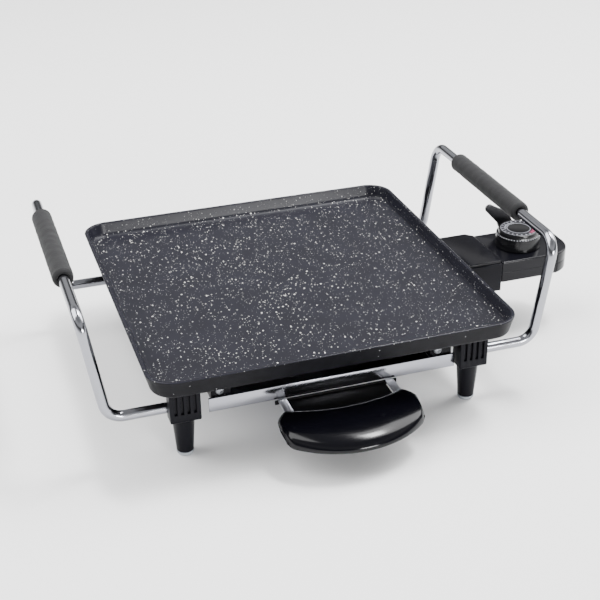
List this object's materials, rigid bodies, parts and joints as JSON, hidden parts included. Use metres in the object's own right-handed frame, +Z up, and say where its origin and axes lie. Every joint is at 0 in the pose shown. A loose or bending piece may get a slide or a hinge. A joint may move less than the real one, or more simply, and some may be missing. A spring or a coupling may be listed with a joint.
{
  "type": "electric griddle",
  "caption": "Square table-top electric griddle with wire handles, a slide-out drip tray and a plug-in thermostat controller with a round dial.",
  "frame": {"origin": "centre of the cooking surface", "axes": "+Z up out of the cooking surface, +X towards the controller, -Y towards the drip tray's handle"},
  "size_m": [0.468, 0.344, 0.1412],
  "materials": {
    "nonstick_coating": "speckled satin non-stick coating",
    "black_sheet": "satin black",
    "zinc_screws": "zinc plated",
    "element_sheath": "dull oxidised",
    "terminal_pins": "plated",
    "ceramic": "matt",
    "bright_sheet": "mill bright",
    "rail_sheet": "galvanised",
    "phenolic": "moulded satin",
    "foot_rubber": "translucent grey",
    "chromed_wire": "polished",
    "grip_foam": "matt foam",
    "tray_sheet": "polished sheet",
    "gloss_moulding": "high gloss",
    "case_plastic": "semi gloss",
    "brass_contacts": "plain",
    "probe_steel": "ground",
    "thermostat_body": "moulded",
    "cord_rubber": "soft satin",
    "lever_plastic": "moulded satin",
    "knob_plastic": "semi gloss",
    "dial_print": "printed"
  },
  "bodies": {
    "griddle": {"griddle_plate": "nonstick_coating", "drain_chute": "black_sheet", "chute_screws": "zinc_screws", "heating_element": "element_sheath", "terminal_pins": "terminal_pins", "ceramic_bushings": "ceramic", "element_clamps": "bright_sheet", "clamp_screws": "zinc_screws", "probe_guide": "bright_sheet", "heat_reflector": "bright_sheet", "reflector_screws": "zinc_screws", "left_rail": "rail_sheet", "right_rail": "rail_sheet", "rail_screws": "zinc_screws", "socket_housing": "phenolic", "socket_lid": "phenolic", "socket_screws": "zinc_screws", "front_left_foot": "phenolic", "front_right_foot": "phenolic", "rear_left_foot": "phenolic", "rear_right_foot": "phenolic", "front_left_tip": "foot_rubber", "front_right_tip": "foot_rubber", "rear_left_tip": "foot_rubber", "rear_right_tip": "foot_rubber", "foot_screws": "zinc_screws", "left_handle_wire": "chromed_wire", "right_handle_wire": "chromed_wire", "left_grip": "grip_foam", "right_grip": "grip_foam"},
    "tray": {"drip_tray": "tray_sheet", "handle_brackets": "bright_sheet", "bracket_screws": "zinc_screws", "tray_handle": "gloss_moulding"},
    "controller": {"controller_base": "case_plastic", "controller_cover": "case_plastic", "terminal_block": "phenolic", "contact_sleeves": "brass_contacts", "contact_leads": "brass_contacts", "probe_rod": "probe_steel", "thermostat_unit": "thermostat_body", "case_screws": "zinc_screws", "cord_gland": "cord_rubber", "lever_pin": "probe_steel", "lever_spring": "probe_steel"},
    "lever": {"eject_lever": "lever_plastic"},
    "knob": {"knob_shaft": "probe_steel", "control_knob": "knob_plastic", "dial_scale": "dial_print"}
  },
  "joints": [
    {"name": "tray_slide", "type": "slide", "parent": "griddle", "child": "tray", "axis": [0, -1, 0], "range_m": [0, 0.2]},
    {"name": "controller_plug", "type": "slide", "parent": "griddle", "child": "controller", "axis": [1, 0, 0], "range_m": [0, 0.11]},
    {"name": "dial_turn", "type": "hinge", "parent": "controller", "child": "knob", "pos_m": [0.222, 0, 0], "axis": [0, 0, 1], "range_deg": [-270, 0]},
    {"name": "lever_press", "type": "hinge", "parent": "controller", "child": "lever", "pos_m": [0.231, 0.0337, -0.006], "axis": [0, 1, 0], "range_deg": [0, 22], "stiffness_Nm_per_rad": 0.35, "springref_deg": -14.32}
  ]
}
